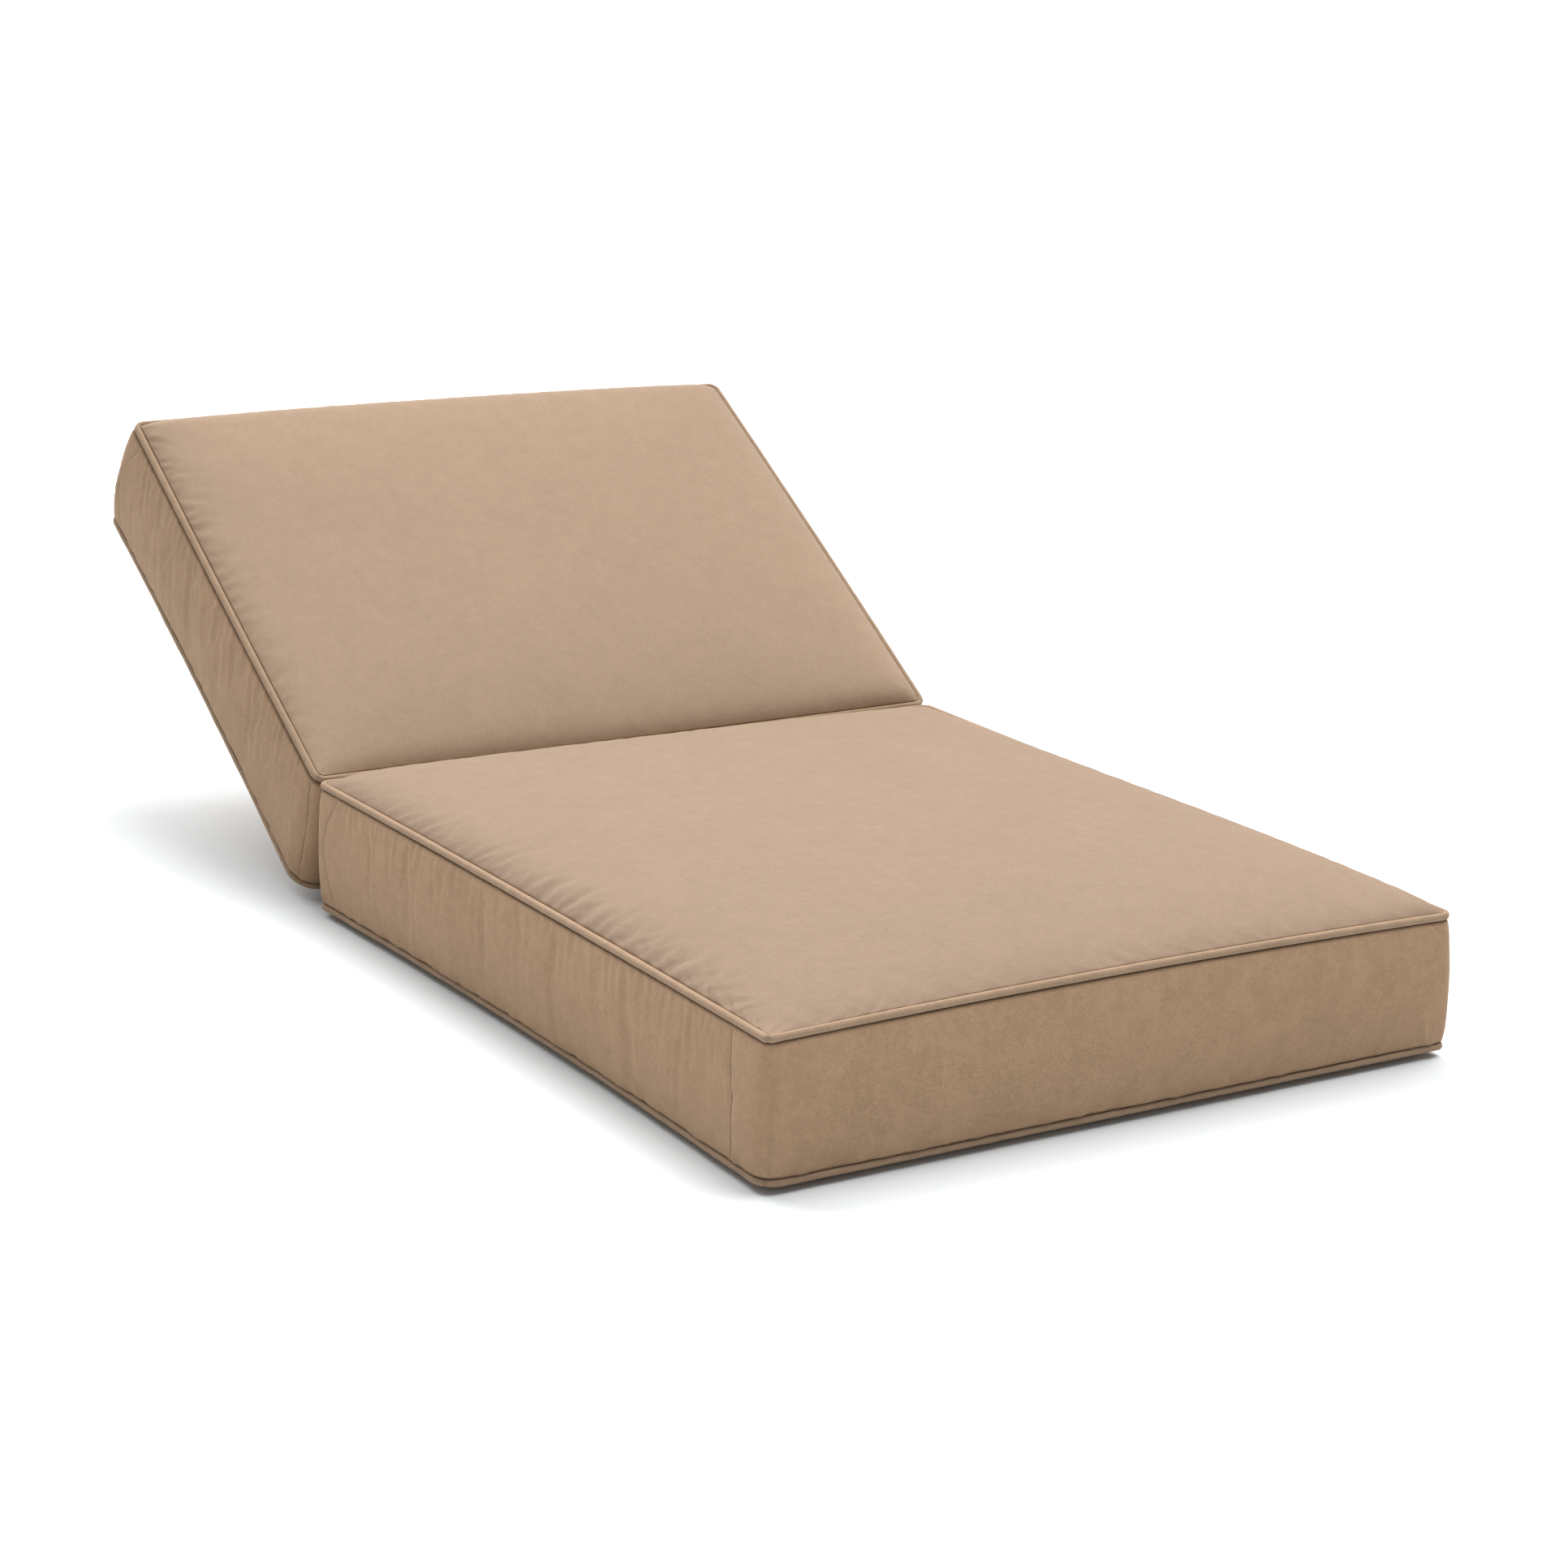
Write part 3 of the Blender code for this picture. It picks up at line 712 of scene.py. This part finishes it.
def addRod(name, form, middle, across, out, wide, high, lee):
    # A closed rod along given points, an ellipse in section; lee is its shaded side, +1 or -1 across
    angles = np.arange(seamLook["sides"]) * 2 * np.pi / seamLook["sides"]
    c, s = np.cos(angles)[:, None, None], np.sin(angles)[:, None, None]
    tube = middle[None] + across[None] * wide[:, None] * c + out[None] * high[:, None] * s
    m, n = len(angles), len(middle)
    points = np.concatenate([tube.reshape(-1, 3), middle[[0, -1]]])
    a, k = np.meshgrid(np.arange(m), np.arange(n - 1), indexing="ij")
    a2 = (a + 1) % m
    quads = np.stack([a * n + k, a * n + k + 1, a2 * n + k + 1, a2 * n + k], -1).reshape(-1, 4)
    a = np.arange(m)
    caps = np.concatenate([np.stack([a * n, (a + 1) % m * n, np.full(m, m * n)], -1),
                           np.stack([(a + 1) % m * n + n - 1, a * n + n - 1, np.full(m, m * n + 1)], -1)])
    first = points[quads[0]]
    middleOfRod = middle[:2].mean(0)
    if np.dot(np.cross(first[1] - first[0], first[3] - first[0]), first.mean(0) - middleOfRod) < 0:
        quads, caps = quads[:, ::-1], caps[:, ::-1]
    # painted shade on the rod's lee side; a tack takes the full mark
    shade = np.ones(m) if lee is None else seamLook["shade"] * np.clip(np.cos(angles) * lee, 0, 1) ** 0.7
    crease = np.concatenate([np.repeat(shade, n), [1, 1]])
    uvs = [points[quads][:, :, 1:].reshape(-1, 2), points[caps][:, :, 1:].reshape(-1, 2)]
    made = addMesh(name, inPlace(form, points), [quads, caps], uvs, {"crease": crease})
    seams.append(made)


seams = []


def addWelt(name, form, level, spec):
    # A tube of round section along the seam's line; its radius and line wander as a covered cord's do
    rng = np.random.default_rng(spec["seed"])
    x, y, _ = loopPlaces(form)
    px, py, nx, ny = seamLine(form, level)
    pz = seamTop(form, x, y) if level else np.zeros_like(px)
    step = np.hypot(np.roll(px, -1) - px, np.roll(py, -1) - py)
    arc = np.concatenate([[0], np.cumsum(step)])
    total = arc[-1]
    radius = spec["radius"] * (1 + spec["vary"] * noise1(rng, arc[:-1], 0.02, total))
    sway = spec["sway"] * (noise1(rng, arc[:-1], 0.05, total) + 0.5 * noise1(rng, arc[:-1], 0.018, total))
    angles = np.arange(weltLook["sides"]) * 2 * np.pi / weltLook["sides"]
    # section: inward cos, up sin, taken clockwise seen along the loop so that the faces look outward
    upward = 1 if level else -1
    turn = (np.degrees(angles) * upward + 180) % 360 - 180
    # painted shade on the cord where it turns into the grooves under the boxing and beside the panel
    onBox, onPanel = tuck["boxAngle"] - turn, turn - tuck["panelAngle"]
    past = np.maximum(np.maximum(onBox, onPanel), 0)
    shade = np.exp(-np.radians(past) * spec["radius"] / weltLook["shadeRun"])
    shade = shade * np.where(onBox > onPanel, weltLook["boxShade"], weltLook["panelShade"])
    # each corner is a mitre: the cord is pinched there, with a line of painted shade across it
    toCorner = np.hypot(np.minimum(x, form["width"] - x), np.minimum(y, form["length"] - y))
    mitre = np.exp(-((toCorner / weltLook["mitre"]) ** 2))
    radius = radius * (1 - weltLook["pinch"] * mitre)
    ci = radius[None] * np.cos(angles)[:, None] + sway * 0.5
    cz = radius[None] * np.sin(angles)[:, None]
    points = np.stack([px + nx * ci, py + ny * ci, pz + cz], -1)
    m, n, _ = points.shape
    a, k = np.meshgrid(np.arange(m), np.arange(n), indexing="ij")
    a2, k2 = (a + 1) % m, (k + 1) % n
    quads = np.stack([a * n + k, a2 * n + k, a2 * n + k2, a * n + k2], -1).reshape(-1, 4)
    around = np.arange(m + 1) * 2 * np.pi / m * spec["radius"]
    uv = np.stack([np.stack([arc[k], arc[k], arc[k + 1], arc[k + 1]], -1),
                   np.stack([around[a], around[a + 1], around[a + 1], around[a]], -1)], -1).reshape(-1, 2)
    crease = np.clip(shade[:, None] + weltLook["mitreShade"] * mitre[None], 0, 1)
    return addMesh(name, inPlace(form, points), [quads], [uv], {"crease": crease.ravel()})


weltLook = {"sides": 20, "mitre": 0.0020, "pinch": 0.14, "mitreShade": 0.35,
            "shadeRun": 0.0007, "boxShade": 0.8, "panelShade": 0.2}
weltSpecs = {
    "seatWeltTop": {"seed": 3, "radius": 0.00485, "vary": 0.012, "sway": 0.00012},
    "seatWeltBottom": {"seed": 4, "radius": 0.0049, "vary": 0.02, "sway": 0.0005},
    "backWeltFront": {"seed": 5, "radius": 0.00485, "vary": 0.012, "sway": 0.00012},
    "backWeltRear": {"seed": 6, "radius": 0.0049, "vary": 0.02, "sway": 0.0005},
}


class Wire:
    # An output socket that takes + - * / and powers, with numbers on either side
    def __init__(self, sheet, socket):
        self.sheet, self.socket = sheet, socket

    def __add__(self, other):
        return self.sheet.maths("ADD", self, other)

    def __radd__(self, other):
        return self.sheet.maths("ADD", other, self)

    def __sub__(self, other):
        return self.sheet.maths("SUBTRACT", self, other)

    def __rsub__(self, other):
        return self.sheet.maths("SUBTRACT", other, self)

    def __mul__(self, other):
        return self.sheet.maths("MULTIPLY", self, other)

    def __rmul__(self, other):
        return self.sheet.maths("MULTIPLY", other, self)

    def __truediv__(self, other):
        return self.sheet.maths("DIVIDE", self, other)

    def __rtruediv__(self, other):
        return self.sheet.maths("DIVIDE", other, self)

    def __pow__(self, other):
        return self.sheet.maths("POWER", self, other)


class NodeSheet:
    # One material's nodes
    def __init__(self, name):
        self.material = bpy.data.materials.new(name)
        self.material.use_nodes = True
        self.tree = self.material.node_tree
        self.shader = self.tree.nodes["Principled BSDF"]

    def node(self, kind, settings, values, output=0):
        made = self.tree.nodes.new(kind)
        for name, setting in settings.items():
            setattr(made, name, setting)
        for name, value in values.items():
            self.put(made.inputs[name], value)
        return Wire(self, made.outputs[output])

    def put(self, socket, value):
        if isinstance(value, Wire):
            self.tree.links.new(value.socket, socket)
        else:
            socket.default_value = value

    def maths(self, operation, a, b=0.0):
        return self.node("ShaderNodeMath", {"operation": operation}, {0: a, 1: b})

    def noise(self, place, scale, detail, rough=0.5):
        return self.node("ShaderNodeTexNoise", {"noise_dimensions": "3D"},
                         {"Vector": place, "Scale": scale, "Detail": detail, "Roughness": rough})

    def mixColour(self, factor, a, b, blend="MIX"):
        return self.node("ShaderNodeMix", {"data_type": "RGBA", "blend_type": blend, "clamp_factor": True},
                         {0: factor, 6: a, 7: b}, 2)

    def surface(self, values):
        for name, value in values.items():
            self.put(self.shader.inputs[name], value)
        return self.material


# The cloth's tones and finish; the upper panel's tint stands for painted sheen, and the crease colour is that
# of painted shade
clothLook = {
    "light": (0.375, 0.244, 0.149, 1), "dark": (0.323, 0.210, 0.126, 1), "fleck": (0.45, 0.31, 0.20, 1),
    "paintedSheenTint": (0.722, 0.785, 0.900, 1), "boxUneven": 2.0, "relief": 1.0,
    "uneven": (0.6, 1.0, 0.9, 1.5), "threadPitch": 0.0011, "threadHeight": 0.00010, "grainHeight": 0.00016,
    "napHeight": 0.00034, "cloudHeight": 0.0004, "patchHeight": 0.0008,
    "sheen": 0.04, "sheenRough": 0.45, "rough": 0.88, "crease": (0.060, 0.034, 0.016, 1), "creaseShare": 0.75,
}


def clothMaterial(name, look):
    # Brushed canvas: a fine over-and-under weave on the cloth's own coordinates, a napped grain, and mottling
    s = NodeSheet(name)
    cloth = s.node("ShaderNodeUVMap", {"uv_map": "cloth"}, {})
    u = s.node("ShaderNodeSeparateXYZ", {}, {"Vector": cloth})
    v = Wire(s, u.socket.node.outputs[1])
    turn = 2 * math.pi / (2 * look["threadPitch"])
    warp = s.maths("SINE", u * turn)
    weft = s.maths("SINE", v * turn)
    weave = warp * weft  # over and under: a chequer of rounded crossings
    place = s.node("ShaderNodeTexCoord", {}, {}, 3)
    broad = s.noise(place, 7.0, 2.0)
    patch = s.noise(place, 38.0, 3.0, 0.55)
    cloud = s.noise(place, 105.0, 3.0, 0.6)
    grain = s.noise(place, 900.0, 2.0, 0.6)
    nap = s.noise(place, 260.0, 3.0, 0.6)
    wide, blots, clouds, naps = look["uneven"]
    uneven = (broad - 0.5) * wide + (patch - 0.5) * blots + (cloud - 0.5) * clouds + (nap - 0.5) * naps
    upperPanel = s.node("ShaderNodeAttribute", {"attribute_name": "upperPanel"}, {}, 2)
    strength = look["boxUneven"] + (1.0 - look["boxUneven"]) * upperPanel
    tone = s.node("ShaderNodeClamp", {}, {0: 0.5 + uneven * strength})
    colour = s.mixColour(tone, look["dark"], look["light"])
    flecks = s.node("ShaderNodeClamp", {}, {0: (grain - 0.62) * 5.0})
    colour = s.mixColour(flecks * 0.25, colour, look["fleck"])
    shade = s.node("ShaderNodeClamp", {}, {0: (0.38 - grain) * 4.0})
    colour = s.mixColour(shade * 0.18, colour, look["dark"], "MULTIPLY")
    # painted sheen: the upper panel's colour is multiplied by its look's tint, which greys it against the
    # boxing and on the back cushion also lightens it
    colour = s.mixColour(upperPanel, colour, look["paintedSheenTint"], "MULTIPLY")
    crease = s.node("ShaderNodeAttribute", {"attribute_name": "crease"}, {}, 2)
    # where the crease mark is below nought (fold ridges) the colour moves toward the fleck colour as painted
    # highlight; above nought it moves toward the crease colour as painted shade in seam grooves, fold valleys
    # and the lee of seam lines
    colour = s.mixColour(crease * -1.0, colour, look["fleck"])
    colour = s.mixColour(crease * look["creaseShare"], colour, look["crease"])
    height = weave * look["threadHeight"] + (grain - 0.5) * look["grainHeight"]
    height = height + (nap - 0.5) * look["napHeight"]
    height = height + (cloud - 0.5) * look["cloudHeight"] + (patch - 0.5) * look["patchHeight"]
    height = height * look["relief"]
    bump = s.node("ShaderNodeBump", {}, {"Strength": 1.0, "Distance": 1.0, "Height": height})
    return s.surface({
        "Base Color": colour, "Roughness": look["rough"] + (nap - 0.5) * 0.12, "Normal": bump,
        "Specular IOR Level": 0.12, "Sheen Weight": look["sheen"], "Sheen Roughness": look["sheenRough"],
    })


def plainMaterial(name, colour, rough):
    s = NodeSheet(name)
    return s.surface({"Base Color": colour, "Roughness": rough, "Specular IOR Level": 0.0})


cushionCloth = clothMaterial("brushedCanvas", clothLook)
# The back cushion's copy of the cloth: darker tones paint shade on its boxing, a brighter tint paints light
# and sheen on its upper panel, and its relief is weaker
backLook = {"light": (0.347, 0.225, 0.137, 1), "dark": (0.299, 0.193, 0.116, 1),
            "paintedSheenTint": (0.938, 1.025, 1.155, 1), "relief": 0.4}
backPaintedLightCloth = clothMaterial("backCanvasPaintedLight", {**clothLook, **backLook})
weltTones = {"light": (0.328, 0.226, 0.149, 1), "dark": (0.288, 0.197, 0.128, 1)}
weltCloth = clothMaterial("weltCanvas", {**clothLook, **weltTones})

seatCover = addCover("seatCover", seat, seatRelief)
backCover = addCover("backCover", back, backRelief)
for cover, node, cloth in ((seatCover, "seat_cushion", cushionCloth), (backCover, "back_cushion", backPaintedLightCloth)):
    cover.data.materials.append(cloth)
    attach(cover, "root")
    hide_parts(node)
    print(cover.name, len(cover.data.polygons), "faces")
for made in seams:
    made.data.materials.append(weltCloth)
    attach(made, "root")
print(len(seams), "seam lines and tacks")
for name, form, level, node in (("seatWeltTop", seat, 1.0, "seat_welt_top"),
                                ("seatWeltBottom", seat, 0.0, "seat_welt_bottom"),
                                ("backWeltFront", back, 1.0, "back_welt_front"),
                                ("backWeltRear", back, 0.0, "back_welt_rear")):
    welt = addWelt(name, form, level, weltSpecs[name])
    welt.data.materials.append(weltCloth)
    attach(welt, "root")
    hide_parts(node)
    print(name, len(welt.data.polygons), "faces")

studio = {
    "floor": (0.700, 0.725, 0.740, 1), "dome": 0.36,
    "suns": {"side": {"energy": 3.70, "soft": 50.0, "from": (0.47, 0.0, 1.0)},
             "back": {"energy": 3.57, "soft": 50.0, "from": (0.0, 0.90, 1.0)},
             "fill": {"energy": 0.20, "soft": 70.0, "from": (-1.0, -0.35, 0.45)}},
}
floorMesh = bpy.data.meshes.new("floor")
floorMesh.from_pydata([(-60, -60, -0.0006), (60, -60, -0.0006), (60, 60, -0.0006), (-60, 60, -0.0006)], [],
                      [(0, 1, 2, 3)])
floor = bpy.data.objects.new("floor", floorMesh)
bpy.context.scene.collection.objects.link(floor)
floor.data.materials.append(plainMaterial("floorPaper", studio["floor"], 0.9))

world = bpy.data.worlds.new("studio")
bpy.context.scene.world = world
world.use_nodes = True
world.node_tree.nodes["Background"].inputs["Color"].default_value = (1, 1, 1, 1)
world.node_tree.nodes["Background"].inputs["Strength"].default_value = studio["dome"]
for name, spec in studio["suns"].items():
    sun = bpy.data.lights.new(name, "SUN")
    sun.energy = spec["energy"]
    sun.angle = math.radians(spec["soft"])
    lamp = bpy.data.objects.new(name, sun)
    bpy.context.scene.collection.objects.link(lamp)
    lamp.rotation_mode = "QUATERNION"
    lamp.rotation_quaternion = (-Vector(spec["from"])).to_track_quat("-Z", "Y")
bpy.context.scene.view_settings.view_transform = "Standard"
